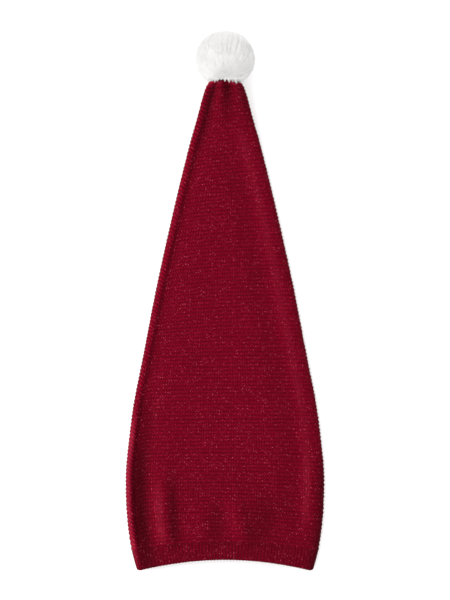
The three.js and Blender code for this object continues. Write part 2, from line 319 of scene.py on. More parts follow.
@dataclass(frozen=True)
class LyingForm:
    """The soft form of the lying hat, as the solids have it, over its own middle line."""

    body_width: float
    crown_length: float
    join_y: float
    tip_lift: float
    lying_height: float = 0.027
    edge_roll: float = 0.015
    hem_rise: float = 0.016
    gather_depth: float = 0.0024
    mouth_width: float = 0.24
    band_depth: float = 0.024
    corner_radius: float = 0.007
    seat_gap: float = 0.0003
    shoulder: float = 0.16
    shoulder_limit: float = 0.8
    line_fade: float = 0.08
    flute_base: float = 0.025
    flute_full: float = 0.35
    gathers_from: float = 0.87
    gathers_full: float = 0.975
    gathers_end: float = 0.985
    gather_pitch: float = 0.83
    gather_phase: float = 0.33
    # Painted light on the crests of the gathers and painted shade in their hollows, a darkening towards the
    # tip, painted light on the end of the crown where it lies in shade, and a darkening near the hem.
    gather_painted_shading: float = 0.28
    tip_tone: float = -0.16
    end_painted_light: float = 0.7
    end_painted_light_from: float = 0.976
    end_painted_light_full: float = 0.988
    hem_tone: float = -0.07
    hem_tone_full: float = 0.02
    hem_tone_end: float = 0.25
    stroke_width: float = 0.009
    stroke_full: float = 0.85
    stroke_end: float = 1.1
    hole_place: float = 1.25
    hole_spread: float = 0.12

    def crown_ring(self, at: Array) -> Ring:
        """The sections of the crown at shares of its length.

        Args:
            at: Shares of the crown's length, 0 at the band.

        Returns:
            The sections there.
        """
        height = self.lying_height * SECTIONS.read("thick", at)
        half = self.body_width * SECTIONS.read("width", at) / 2
        roll = np.minimum(np.minimum(self.edge_roll, height), half) / 2
        lift = self.tip_lift * np.maximum(0.0, SECTIONS.read("lift", at))
        arch = self.hem_rise * np.maximum(0.0, SECTIONS.read("arch", at))
        return Ring(at, half, height, roll, lift, arch, at * self.crown_length)

    def band_ring(self, share: Array) -> Ring:
        """The sections of the band.

        Args:
            share: 0 at the crown, 1 at the lower edge.

        Returns:
            The sections there.
        """
        join = self.crown_ring(np.zeros_like(share))
        depth = lerp(self.seat_gap, self.band_depth, share)
        half = lerp(join.half, self.mouth_width / 2, share)
        arch = lerp(join.arch, self.hem_rise, share)
        corner = self.corner_radius * share
        return Ring(-depth / self.crown_length, half, join.height, join.roll, join.lift, arch, -depth, corner)

    def relief(self, ring: Ring, x: Array) -> Array:
        """The height of the soft lines, flutes and gathers on the upper side.

        Args:
            ring: The sections.
            x: The places across them.

        Returns:
            The height at each place.
        """
        folds = self.lying_height * self.folds(ring, x, Trait.HEIGHT)
        return folds + self.gather_depth * self.gathers(ring, x)

    def folds(self, ring: Ring, x: Array, trait: Trait) -> Array:
        """What the lines beside the edges and the flutes give together.

        Args:
            ring: The sections.
            x: The places across them.
            trait: The height or the tone.

        Returns:
            The sum at each place.
        """
        total = np.zeros_like(x)
        for line in EDGE_LINES:
            inset = ring.half - line.edge.value * x
            begun = smoothstep(ring.at, line.start, line.start + self.line_fade)
            ended = smoothstep(ring.at, line.end - self.line_fade, line.end)
            across = bump(inset - line.inset * self.body_width, line.spread * self.body_width)
            total += getattr(line, trait.value) * (begun - ended) * across
        for flute in FLUTES:
            share = np.clip(ring.at / flute.reach, 0.0, 1.0)
            centre = lerp(flute.low, flute.high, share) * ring.half
            begun = smoothstep(ring.at, -self.flute_base, self.flute_base)
            along = begun * (1.0 - smoothstep(share, self.flute_full, 1.0))
            across = bump(x - centre, flute.spread * self.body_width)
            total += getattr(flute, trait.value) * along * across
        return total

    def gathers(self, ring: Ring, x: Array) -> Array:
        """The gathers that fan out from the tip, from -1 in a hollow to 1 on a crest.

        Args:
            ring: The sections.
            x: The places across them.

        Returns:
            The share of their depth at each place.
        """
        fade = 1.0 - smoothstep(ring.at, self.gathers_end, 1.0)
        grow = smoothstep(ring.at, self.gathers_from, self.gathers_full) * fade
        across = x / ring.half + self.gather_phase
        return grow * np.cos(2 * math.pi * across / self.gather_pitch)

    def top_height(self, ring: Ring, x: Array) -> Array:
        """The height of the upper side over the lift, between its two rolls.

        Args:
            ring: The sections.
            x: The places across them.

        Returns:
            The height at each place.
        """
        inward = ring.half - ring.roll - np.abs(x)
        reach = np.minimum(self.shoulder * self.body_width, self.shoulder_limit * (ring.half - ring.roll))
        return 2 * ring.roll + (ring.height - 2 * ring.roll) * smoothstep(inward / reach, 0.0, 1.0)

    def painted_fold_shading(self, ring: Ring, lap: Array, inset: Array) -> Array:
        """The painted light and shade of the folds and gathers, painted light on the end of the crown, and a
        darkening near the hem and towards the tip.

        Args:
            ring: The sections.
            lap: How far round them.
            inset: How far inside the surface.

        Returns:
            What is added to a brightness of 1, on the upper side only.
        """
        x = self.across(ring, lap, inset)
        hem = self.hem_tone * (1.0 - smoothstep(ring.at, self.hem_tone_full, self.hem_tone_end))
        tip = self.tip_tone * smoothstep(ring.at, self.gathers_from, self.gathers_full)
        end = self.end_painted_light * smoothstep(ring.at, self.end_painted_light_from, self.end_painted_light_full)
        tone = self.folds(ring, x, Trait.TONE) + self.gather_painted_shading * self.gathers(ring, x) + hem + tip + end
        return tone * ((lap <= RIGHT_MIDDLE) | (lap >= LEFT_MIDDLE))

    def seam_share(self, ring: Ring, lap: Array, inset: Array) -> Array:
        """Where the side seam runs along the left edge.

        Args:
            ring: The sections.
            lap: How far round them.
            inset: How far inside the surface.

        Returns:
            1 on its slanted strokes, -1 on the row of holes beside them and 0 elsewhere.
        """
        left = (ring.half + self.across(ring, lap, inset)) / self.stroke_width
        strokes = 1.0 - smoothstep(left, self.stroke_full, self.stroke_end)
        holes = bump(left - self.hole_place, self.hole_spread)
        return (strokes - holes) * ((lap <= TOP_END) | (lap >= LEFT_MIDDLE))

    def across(self, ring: Ring, lap: Array, inset: Array) -> Array:
        """The places across the sections.

        Args:
            ring: The sections.
            lap: How far round them.
            inset: How far inside the surface.

        Returns:
            The x of each place.
        """
        stretch = np.clip(np.floor(lap), 0, 3)
        share = lap - stretch
        inner = ring.half - ring.roll
        radius = ring.roll - inset
        flat = inner * np.where(stretch == 0, 2 * share - 1, 1 - 2 * share)
        side = np.where(stretch == 1, 1.0, -1.0)
        return np.where(stretch % 2 == 0, flat, side * (inner + radius * np.sin(math.pi * share)))

    def point(self, ring: Ring, lap: Array, inset: Array) -> Array:
        """Points of the sections.

        Args:
            ring: The sections.
            lap: How far round them.
            inset: How far inside the surface.

        Returns:
            The points, with their three coordinates on the last axis.
        """
        stretch = np.clip(np.floor(lap), 0, 3)
        share = lap - stretch
        x = self.across(ring, lap, inset)
        relief = self.relief(ring, x)
        upward = np.where(stretch == 1, np.cos(math.pi * share), -np.cos(math.pi * share))
        roll_z = ring.roll + (ring.roll - inset) * upward + relief * np.maximum(0.0, upward)
        top_z = self.top_height(ring, x) + relief - inset
        z = np.select([stretch == 0, stretch == 2], [top_z, inset + 0.0 * x], roll_z)
        into = np.clip((np.abs(x) - ring.half + ring.corner) / np.maximum(ring.corner, TINY), 0.0, 1.0)
        rounding = ring.corner * (1.0 - np.sqrt(1.0 - into * into))
        y = ring.y - ring.arch * (x / ring.half) ** 2 + rounding + self.join_y
        return np.stack([x, y, ring.lift + z], axis=-1)


@dataclass
class Patch:
    """A lattice of points with its pattern: rows, columns and the values of each point."""

    points: Array
    pattern: Array
    depth: Array
    # The painted light and shade of the folds at each point.
    fold: Array
    seam: Array

    @property
    def rows(self) -> int:
        """How many rows of points there are."""
        return self.points.shape[0]

    @property
    def columns(self) -> int:
        """How many columns of points there are."""
        return self.points.shape[1]


def outward(points: Array) -> Array:
    """Normals of a lattice that goes round, whose last column is its first one again.

    Args:
        points: The lattice.

    Returns:
        The normal at each of its points.
    """
    ring = points[:, :-1]
    across = np.roll(ring, -1, axis=1) - np.roll(ring, 1, axis=1)
    across = np.concatenate([across, across[:, :1]], axis=1)
    along = np.gradient(points, axis=0)
    return unit(np.cross(across, along))


def lattice_object(name: str, patches: list[Patch]) -> bpy.types.Object:
    """One closed mesh from lattices whose borders meet themselves.

    Args:
        name: The name of the piece.
        patches: The lattices.

    Returns:
        The piece, linked to the scene.
    """
    mesh = bpy.data.meshes.new(name)
    sheet = bmesh.new()
    for patch in patches:
        bmesh.ops.create_grid(sheet, x_segments=patch.columns - 1, y_segments=patch.rows - 1, size=1.0)
    sheet.to_mesh(mesh)
    sheet.free()
    mesh.vertices.foreach_set("co", np.concatenate([patch.points.reshape(-1) for patch in patches]))
    corner = np.empty(len(mesh.loops), dtype=np.int32)
    mesh.loops.foreach_get("vertex_index", corner)
    pattern = np.concatenate([patch.pattern.reshape(-1, 2) for patch in patches])
    layer = mesh.uv_layers.new(name=KNIT_MAP)
    layer.uv.foreach_set("vector", pattern[corner].astype(np.float32).ravel())
    for layer_name in (DEPTH, PAINTED_LIGHT_LAYER, SEAM):
        values = np.concatenate([getattr(patch, layer_name).reshape(-1) for patch in patches])
        give_values(mesh, layer_name, values)
    sheet = bmesh.new()
    sheet.from_mesh(mesh)
    borders = [vert for vert in sheet.verts if vert.is_boundary]
    bmesh.ops.remove_doubles(sheet, verts=borders, dist=MERGE)
    bmesh.ops.dissolve_degenerate(sheet, edges=sheet.edges, dist=MERGE)
    if sheet.calc_volume(signed=True) < 0:
        bmesh.ops.reverse_faces(sheet, faces=sheet.faces)
    for face in sheet.faces:
        face.smooth = True
    sheet.to_mesh(mesh)
    sheet.free()
    mesh.set_sharp_from_angle(angle=SHARP)
    return linked(name, mesh)


def give_values(mesh: bpy.types.Mesh, name: str, values: Array) -> None:
    """Gives each point of a mesh its value, under that name."""
    mesh.attributes.new(name, "FLOAT", "POINT").data.foreach_set("value", values)


def linked(name: str, mesh: bpy.types.Mesh) -> bpy.types.Object:
    """A mesh as an object of the scene.

    Args:
        name: The name of the piece.
        mesh: Its mesh, already in place.

    Returns:
        The piece.
    """
    piece = bpy.data.objects.new(name, mesh)
    bpy.context.collection.objects.link(piece)
    return piece


class Shader:
    """The node tree of one material, with short ways to add to it."""

    SPECK_FADE = 2.5
    MIX_SHARE = 0
    MIX_FIRST = 6
    MIX_SECOND = 7
    MIX_RESULT = 2

    def __init__(self, name: str) -> None:
        """Starts an empty material.

        Args:
            name: The name of the material.
        """
        self.material = bpy.data.materials.new(name)
        self.material.use_nodes = True
        self.tree = self.material.node_tree
        self.tree.nodes.clear()

    def add(
        self, kind: str, inputs: dict[str | int, object] | None = None, **fields: object
    ) -> bpy.types.Node:
        """Adds a node.

        Args:
            kind: The node's type, without its ShaderNode prefix.
            inputs: Values or output sockets for its inputs, by name or number.
            **fields: Its own settings.

        Returns:
            The node.
        """
        node = self.tree.nodes.new("ShaderNode" + kind)
        for field_name, value in fields.items():
            setattr(node, field_name, value)
        for key, value in (inputs or {}).items():
            if isinstance(value, bpy.types.NodeSocket):
                self.tree.links.new(value, node.inputs[key])
            else:
                node.inputs[key].default_value = value
        return node

    def mix(self, share: object, first: object, second: object, blend: str = "MIX") -> bpy.types.NodeSocket:
        """Mixes two colours.

        Args:
            share: How much of the second, a number or a socket.
            first: The first colour.
            second: The second colour.
            blend: How they are mixed.

        Returns:
            The mixed colour.
        """
        inputs = {self.MIX_SHARE: share, self.MIX_FIRST: first, self.MIX_SECOND: second}
        return self.add("Mix", inputs, data_type="RGBA", blend_type=blend).outputs[self.MIX_RESULT]

    def ramp(self, value: object, stops: tuple[tuple[float, Colour], ...]) -> bpy.types.NodeSocket:
        """Turns a value into a colour.

        Args:
            value: What is read.
            stops: Places and their colours.

        Returns:
            The colour.
        """
        node = self.add("ValToRGB", {0: value})
        elements = node.color_ramp.elements
        for i, (place, colour) in enumerate(stops):
            element = elements[i] if i < 2 else elements.new(place)
            element.position = place
            element.color = (*colour, 1.0)
        return node.outputs[0]

    def greys(self, value: object, dark: Span, light: Span) -> bpy.types.NodeSocket:
        """Turns a value into a shade of grey, from the places and the brightness of two of them."""
        return self.ramp(value, tuple((place, (shade,) * 3) for place, shade in (dark, light)))

    def noise(self, place: object, scale: float, detail: float) -> bpy.types.NodeSocket:
        """Soft noise at the coordinates, with its scale and detail."""
        return self.add("TexNoise", {"Vector": place, "Scale": scale, "Detail": detail}).outputs[0]

    def value(self, name: str) -> bpy.types.NodeSocket:
        """The value of that name which the points of the piece have."""
        return self.add("Attribute", attribute_name=name).outputs["Fac"]

    def knit_place(self) -> bpy.types.NodeSocket:
        """The place on the piece's own knit map, in stitches across and rows along."""
        return self.add("UVMap", uv_map=KNIT_MAP).outputs[0]

    def specks(self, place: object, scale: float, size: float, share: float) -> bpy.types.NodeSocket:
        """Small round specks scattered over a flat pattern, some bright and most of them faint.

        Args:
            place: The coordinates.
            scale: Cells to a unit of them.
            size: The radius of a speck, as a share of a cell.
            share: The share of the cells that stay bare.

        Returns:
            0 beside the specks, up to 1 on them.
        """
        cells = self.add("TexVoronoi", {"Vector": place, "Scale": scale}, voronoi_dimensions="2D")
        near = self.math("LESS_THAN", cells.outputs["Distance"], size)
        draw = self.add("SeparateColor", {0: cells.outputs["Color"]}).outputs[0]
        above = self.math("MAXIMUM", self.math("SUBTRACT", draw, share), 0.0)
        strength = self.math("POWER", self.math("DIVIDE", above, 1.0 - share), self.SPECK_FADE)
        return self.math("MULTIPLY", near, strength)

    def math(self, operation: str, first: object, second: object = 0.0) -> bpy.types.NodeSocket:
        """One step of arithmetic on two numbers or sockets."""
        return self.add("Math", {0: first, 1: second}, operation=operation).outputs[0]

    def finish(self, surface: bpy.types.Node) -> bpy.types.Material:
        """Connects the surface to the material's output and returns the material."""
        self.add("OutputMaterial", {"Surface": surface.outputs[0]})
        return self.material


@dataclass(frozen=True)
class KnitFinish:
    """Soft wine-red yarn with a little fuzz and a sparse glitter thread, with painted glints for the thread
    and painted light and shade over its stitches and folds.
    """

    name: str
    # From hollow to crest: painted shade in the hollows of the stitches and painted light on their crests.
    hollow: Colour = (0.042, 0.0001, 0.0025)
    flank: Colour = (0.099, 0.0002, 0.006)
    crest: Colour = (0.262, 0.0006, 0.017)
    # Painted glints of the glitter thread, bright ones and faint ones, and a painted sheen on the lightest
    # folds.
    painted_glint: Colour = (0.47, 0.07, 0.105)
    painted_glimmer: Colour = (0.22, 0.007, 0.03)
    painted_sheen: Colour = (0.27, 0.026, 0.052)
    flank_at: float = 0.5
    fibre_scale: float = 2600.0
    fibre_detail: float = 2.0
    fuzz_dark: Span = (0.3, 0.72)
    fuzz_light: Span = (0.75, 1.25)
    blotch_scale: float = 38.0
    blotch_detail: float = 3.0
    blotch_dark: Span = (0.3, 0.95)
    blotch_light: Span = (0.7, 1.04)
    painted_glint_scale: float = 1.1
    painted_glint_size: float = 0.125
    painted_glint_share: float = 0.58
    painted_glimmer_scale: float = 1.9
    painted_glimmer_size: float = 0.3
    painted_glimmer_share: float = 0.45
    # How dark the painted shade of the folds may make the yarn, and from where and how strongly their painted
    # light turns into a painted sheen.
    darkest: float = 0.3
    painted_sheen_from: float = 0.09
    painted_sheen_strength: float = 0.65
    roughness: float = 0.85
    sheen: float = 0.015
    sheen_roughness: float = 0.5
    sheen_tint: Colour = (0.85, 0.1, 0.18)
    specular: float = 0.03
    bump_strength: float = 0.5
    bump_depth: float = 0.0004

    def height(self, shader: Shader) -> bpy.types.NodeSocket:
        """How far a place stands out of the knit, from 0 in a hollow to 1 on a crest."""
        return shader.value(DEPTH)

    def material(self) -> bpy.types.Material:
        """Makes the material of the finish.

        Returns:
            The material.
        """
        shader = Shader(self.name)
        place = shader.add("TexCoord").outputs["Object"]
        fibre = shader.noise(place, self.fibre_scale, self.fibre_detail)
        blotch = shader.noise(place, self.blotch_scale, self.blotch_detail)
        # The height of the knit turned into colour: painted shade in its hollows, painted light on its
        # crests.
        stops = ((0.0, self.hollow), (self.flank_at, self.flank), (1.0, self.crest))
        yarn = shader.ramp(self.height(shader), stops)
        fuzz = shader.greys(fibre, self.fuzz_dark, self.fuzz_light)
        cloud = shader.greys(blotch, self.blotch_dark, self.blotch_light)
        colour = shader.mix(1.0, shader.mix(1.0, yarn, fuzz, "MULTIPLY"), cloud, "MULTIPLY")
        pattern = shader.knit_place()
        # Painted glints of the glitter thread.
        painted_glimmer = shader.specks(pattern, self.painted_glimmer_scale, self.painted_glimmer_size, self.painted_glimmer_share)
        colour = shader.mix(painted_glimmer, colour, (*self.painted_glimmer, 1.0))
        painted_glint = shader.specks(pattern, self.painted_glint_scale, self.painted_glint_size, self.painted_glint_share)
        colour = shader.mix(painted_glint, colour, (*self.painted_glint, 1.0))
        # The painted light and shade of the folds scale the colour, and their lightest places take a painted
        # sheen.
        tone = shader.math("ADD", shader.value(PAINTED_LIGHT_LAYER), 1.0)
        shade = shader.math("MAXIMUM", tone, self.darkest)
        colour = shader.add("VectorMath", {0: colour, "Scale": shade}, operation="SCALE").outputs[0]
        lightest = shader.math("SUBTRACT", tone, 1.0 + self.painted_sheen_from)
        painted_sheen = shader.math("MULTIPLY", shader.math("MAXIMUM", lightest, 0.0), self.painted_sheen_strength)
        colour = shader.mix(painted_sheen, colour, (*self.painted_sheen, 1.0))
        depths = {"Height": fibre, "Strength": self.bump_strength, "Distance": self.bump_depth}
        relief = shader.add("Bump", depths)
        surface = shader.add(
            "BsdfPrincipled",
            {
                "Base Color": colour,
                "Normal": relief.outputs[0],
                "Roughness": self.roughness,
                "Sheen Weight": self.sheen,
                "Sheen Roughness": self.sheen_roughness,
                "Sheen Tint": (*self.sheen_tint, 1.0),
                "Specular IOR Level": self.specular,
            },
        )
        return shader.finish(surface)


@dataclass(frozen=True)
class GarterFinish(KnitFinish):
    """The same yarn in garter stitch: in every ridge one slanted purl bump beside the other."""

    slant: float = 0.75
    valley: float = 0.36
    ridge_power: float = 2.0
    ridge_share: float = 0.18
    bead_share: float = 0.28
    bead_range: float = 0.3
    stroke_share: float = 0.34
    hole_share: float = 0.25

    def height(self, shader: Shader) -> bpy.types.NodeSocket:
        """How far a place stands out, read from its place in stitches and ridges.

        Args:
            shader: The material that the steps are added to.

        Returns:
            0 in a hollow, up to 1 on a crest.
        """
        stitch, ridge, _ = shader.add("SeparateXYZ", {0: shader.knit_place()}).outputs
        row = shader.math("FLOOR", ridge)
        off = shader.math("SUBTRACT", shader.math("SUBTRACT", ridge, row), 0.5)
        place = shader.math("ADD", stitch, shader.math("MULTIPLY", off, self.slant))
        column = shader.math("FLOOR", shader.math("ADD", place, 0.5))
        arch = shader.math("COSINE", shader.math("MULTIPLY", off, math.pi))
        crest = shader.math("POWER", arch, self.ridge_power)
        bead = shader.math("COSINE", shader.math("MULTIPLY", place, 2 * math.pi))
        cell = shader.add("CombineXYZ", {0: column, 1: row})
        draw = shader.add("TexWhiteNoise", {0: cell.outputs[0]}, noise_dimensions="2D").outputs[0]
        size = shader.math("ADD", shader.math("MULTIPLY", draw, self.bead_range), 1.0 - self.bead_range)
        spot = shader.math("MULTIPLY", shader.math("MULTIPLY", bead, size), self.bead_share)
        stand = shader.math("MULTIPLY", crest, shader.math("ADD", spot, self.ridge_share))
        height = shader.math("ADD", stand, self.valley)
        # On the seam the strokes are painted lighter and the row of holes beside them darker, as painted
        # light and shade.
        seam = shader.value(SEAM)
        rise = shader.math("MULTIPLY", crest, self.stroke_share)
        apart = shader.math("SUBTRACT", shader.math("ADD", rise, self.valley), height)
        height = shader.math("ADD", height, shader.math("MULTIPLY", apart, shader.math("MAXIMUM", seam, 0.0)))
        hole = shader.math("MULTIPLY", shader.math("MINIMUM", seam, 0.0), self.hole_share)
        return shader.math("ADD", height, hole)


@dataclass(frozen=True)
class FurFinish:
    """White fake fur, greyer towards the roots as painted shade, with a tone that differs from hair to hair
    and painted light and shade along its streaks.
    """

    name: str
    # The root colour is painted shade, greyer than the tips.
    root: Colour = (0.66, 0.652, 0.648)
    tip: Colour = (0.795, 0.794, 0.786)
    cloud_scale: float = 60.0
    cloud_detail: float = 3.0
    cloud_from: float = 0.3
    cloud_to: float = 0.7
    dull: Colour = (0.94, 0.935, 0.93)
    bright: Colour = (1.03, 1.03, 1.03)
    roughness: float = 0.75
    sheen: float = 0.2
    sheen_roughness: float = 0.4
    specular: float = 0.2

    def material(self) -> bpy.types.Material:
        """Makes the material of the finish.

        Returns:
            The material.
        """
        shader = Shader(self.name)
        place = shader.add("TexCoord").outputs["Object"]
        cloud = shader.noise(place, self.cloud_scale, self.cloud_detail)
        # Painted shade greys each hair towards its root.
        hair = shader.ramp(shader.value(DEPTH), ((0.0, self.root), (1.0, self.tip)))
        soft = shader.ramp(cloud, ((self.cloud_from, self.dull), (self.cloud_to, self.bright)))
        surface = shader.add(
            "BsdfPrincipled",
            {
                "Base Color": shader.mix(1.0, hair, soft, "MULTIPLY"),
                "Roughness": self.roughness,
                "Sheen Weight": self.sheen,
                "Sheen Roughness": self.sheen_roughness,
                "Specular IOR Level": self.specular,
            },
        )
        return shader.finish(surface)


@dataclass(frozen=True)
class FloorFinish:
    """A plain, matt, nearly white floor."""

    name: str = "pale_floor"
    colour: Colour = (0.96, 0.96, 0.96)
    roughness: float = 0.5

    def material(self) -> bpy.types.Material:
        """Makes the material of the finish.

        Returns:
            The material.
        """
        shader = Shader(self.name)
        looks = {"Color": (*self.colour, 1.0), "Roughness": self.roughness}
        return shader.finish(shader.add("BsdfDiffuse", looks))


@dataclass(frozen=True)
class CrownPart:
    """A length of the crown that is one piece: its ridges, and how many shells they are split into."""

    name: str
    first: int
    last: int
    shells: int


@dataclass
class GarterCrown:
    """The long cone of garter knit, hollow, worked in ridges of purl bumps."""

    form: LyingForm
    finish: KnitFinish
    ridges: int = 125
    stitch: float = 0.0034
    wall: float = 0.004
    ridge_height: float = 0.0003
    bead_height: float = 0.0012
    bead_slant: float = 1.0
    bead_least: float = 0.35
    bead_draws: int = 512
    stroke_height: float = 0.7
    hem_start: float = 0.25
    rows_per_ridge: int = 6
    columns_per_stitch: int = 4
    least_roll_stitches: int = 2
    under_cell: float = 0.0026
    least_under_cells: int = 6
    mouth_ridges: int = 8
    mouth_rows: int = 4
    plain_ridges: int = 3
    hollow_end: float = 0.95
    tuck: float = 0.0009
    stroke_slope: float = 0.8
    strokes_full: float = 0.03
    strokes_fade: float = 0.94
    strokes_end: float = 0.99
    groove_width: float = 0.016
    settling: int = 3
    sunk_share: float = 0.5
    resting_from: float = 0.2
    resting_full: float = 0.9
    row_nudge: float = 1e-6
    end_nudge: float = 1e-4
    area_sections: int = 50
    seed: int = 11

    PARTS = (
        CrownPart("garter_knit_low", 0, 24, 3),
        CrownPart("garter_knit_middle", 24, 50, 3),
        CrownPart("garter_knit_high", 50, 82, 4),
        CrownPart("garter_knit_tail", 82, 125, 6),
    )

    def ridge_ring(self, ridge: Array, lap: Array, inset: Array) -> Ring:
        """The sections on which places of the knit lie.

        Args:
            ridge: The place in ridges from the band.
            lap: How far round.
            inset: How far inside the surface.

        Returns:
            The sections, one for each place.
        """
        form = self.form
        start = ridge / self.ridges
        middle = np.radians(RIDGE_LIE.read("middle", start))
        spread = np.radians(RIDGE_LIE.read("spread", start))
        groove = np.tan(np.radians(np.maximum(0.0, RIDGE_LIE.read("groove", start))))
        stroke = self.stroke_slope * smoothstep(start, 0.0, self.strokes_full)
        stroke = stroke * (1.0 - smoothstep(start, self.strokes_fade, self.strokes_end))
        at = start
        for _ in range(self.settling):
            ring = form.crown_ring(at)
            x = form.across(ring, lap, inset)
            u = x / ring.half
            left = ring.half + x
            fall = ring.half * (middle * u + spread * u * u / 2)
            climb = groove * np.clip(form.stroke_width + self.groove_width - left, 0.0, self.groove_width)
            slant = stroke * np.clip(form.stroke_width - left, 0.0, form.stroke_width)
            y = start * form.crown_length - fall - climb + slant
            at = np.clip((y + ring.arch * u * u) / form.crown_length, 0.0, 1.0)
        return form.crown_ring(at)

    def stitches(self, start: float) -> tuple[Array, Array]:
        """The columns of a shell.

        Args:
            start: The shell's middle, as a share of the crown's length.

        Returns:
            How far round each column lies, and its place in stitches.
        """
        straight, bend = self.form.crown_ring(np.array([start])).stretches()
        top = round(straight / self.stitch)
        side = max(self.least_roll_stitches, round(bend / self.stitch))
        under = max(self.least_under_cells, round(straight / self.under_cell))
        roll_columns = side * self.columns_per_stitch
        counts = (top * self.columns_per_stitch, roll_columns, under, roll_columns)
        laps = [i + np.arange(count) / count for i, count in enumerate(counts)]
        lap = np.concatenate([*laps, [LAPS]])
        stitches = np.interp(lap, np.arange(LAPS + 1), np.cumsum([0, top, side, top, side]))
        return lap, stitches

    def knit_height(self, ridge: Array, stitch: Array, seam: Array) -> Array:
        """The height of the purl bumps, from 0 in the valley between two ridges.

        Args:
            ridge: The place in ridges.
            stitch: The place in stitches.
            seam: 1 on the strokes of the seam, -1 on the holes beside them.

        Returns:
            The height as a share of the whole relief.
        """
        row = np.floor(ridge + self.row_nudge).astype(int)
        off = ridge - row - 0.5
        rise = np.cos(math.pi * np.where(ridge < 0.5, np.maximum(off, -self.hem_start), off))
        random = np.random.default_rng(self.seed)
        sizes = random.uniform(self.bead_least, 1.0, (self.ridges + 2, self.bead_draws))
        place = stitch + self.bead_slant * off
        bead = np.floor(place + 0.5).astype(int) % self.bead_draws
        bumps = wave(place) * sizes[row, bead]
        whole = self.ridge_height + self.bead_height
        knit = rise * (self.ridge_height + self.bead_height * bumps) / whole
        stroke = self.stroke_height * rise
        return lerp(knit, stroke, np.maximum(seam, 0.0)) * (1.0 + np.minimum(seam, 0.0))

    def rows(self, first: int, last: int) -> tuple[int, list[Array]]:
        """The rows of a shell: up its outer side, in over its end, down its inner side and out again.

        Args:
            first: Its first ridge.
            last: The ridge that it ends before.

        Returns:
            How many of the rows are the outer side. Then, for each row, its place in ridges, how far
            inside the surface it lies, and 1 where stitches show or 0 where it is plain.
        """
        outer = np.linspace(first, last, (last - first) * self.rows_per_ridge + 1)
        inner = np.linspace(last, first, max(2, (last - first) // self.plain_ridges))
        inner_show = 0.0
        if first == 0:
            fine = np.linspace(self.mouth_ridges, first, self.mouth_ridges * self.mouth_rows + 1)
            inner = np.concatenate([inner[inner > self.mouth_ridges], fine])
            inner_show = 1.0
        turns_in = last < self.ridges
        if not turns_in:
            inner = np.unique(np.minimum(inner, self.hollow_end * self.ridges))[::-1]
        ridge = np.concatenate([outer, [last] * turns_in, inner, [first], [first]])
        inset = np.concatenate([0 * outer, [self.tuck] * turns_in, 0 * inner + self.wall, [self.tuck], [0]])
        show = np.concatenate([0 * outer + 1, [0] * turns_in, 0 * inner + inner_show, [0], [1]])
        return len(outer), [ridge, inset, show]

    def shell(self, first: int, last: int) -> Patch:
        """A closed ring of knit, some ridges long, with its outer and inner side.

        Args:
            first: Its first ridge.
            last: The ridge that it ends before.

        Returns:
            The lattice, whose first row comes again as its last.
        """
        lap, stitch = self.stitches((first + last) / 2 / self.ridges)
        outer_rows, rows = self.rows(first, last)
        ridge, inset, show = (np.repeat(row[:, None], len(lap), axis=1) for row in rows)
        laps = np.broadcast_to(lap, ridge.shape)
        ring = self.ridge_ring(ridge, laps, inset)
        points = self.form.point(ring, laps, inset)
        seam = self.form.seam_share(ring, laps, inset)
        # The painted light and shade of the folds at each point.
        fold = self.form.painted_fold_shading(ring, laps, inset)
        if last == self.ridges:
            poles = [outer_rows, outer_rows]
            points = self.with_poles(points, outer_rows)
            ridge = np.insert(ridge, poles, first, axis=0)
            show, seam, fold = (np.insert(grid, poles, 0.0, axis=0) for grid in (show, seam, fold))
        stitch = np.broadcast_to(stitch, ridge.shape)
        height = self.knit_height(np.minimum(ridge, self.ridges - self.end_nudge), stitch, seam) * show
        normal = outward(points)
        normal[:outer_rows] = outward(points[:outer_rows])
        resting = smoothstep(-normal[..., 2], self.resting_from, self.resting_full)
        whole = self.ridge_height + self.bead_height
        offset = height * whole - lerp(self.sunk_share, 1.0, resting) * whole * show
        points = points + normal * offset[..., None]
        points[..., 2] = np.maximum(points[..., 2], 0.0)
        points[:, -1] = points[:, 0]
        points[-1] = points[0]
        return Patch(points, np.stack([stitch, ridge], axis=-1), height, fold, seam)

    def with_poles(self, points: Array, outer_rows: int) -> Array:
        """Closes the tip: the outer side and the hollow each run together in a point.

        Args:
            points: The lattice.
            outer_rows: How many of its rows are the outer side.

        Returns:
            The lattice with the two points as rows.
        """
        tip = points[outer_rows - 1].mean(axis=0)
        end = points[outer_rows].mean(axis=0)
        poles = np.stack([np.tile(tip, (points.shape[1], 1)), np.tile(end, (points.shape[1], 1))])
        return np.concatenate([points[:outer_rows], poles, points[outer_rows:]])

    def build(self) -> list[bpy.types.Object]:
        """Builds and dresses the lengths of the crown.

        Returns:
            The pieces.
        """
        material = self.finish.material()
        pieces = []
        for part in self.PARTS:
            edges = np.linspace(part.first, part.last, part.shells + 1).round().astype(int)
            patches = [self.shell(int(a), int(b)) for a, b in zip(edges[:-1], edges[1:])]
            piece = lattice_object(part.name, patches)
            piece.data.materials.append(material)
            self.declare(piece, part)
            pieces.append(piece)
        return pieces

    def declare(self, piece: bpy.types.Object, part: CrownPart) -> None:
        """Sets the piece on the body and hides the solid of the crown, which it stands for.

        Args:
            piece: The piece.
            part: The length of the crown that it is.
        """
        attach(piece, BODY)
        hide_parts("crown")
        at = np.linspace(part.first, part.last, self.area_sections) / self.ridges
        girth = self.form.crown_ring(at).girth


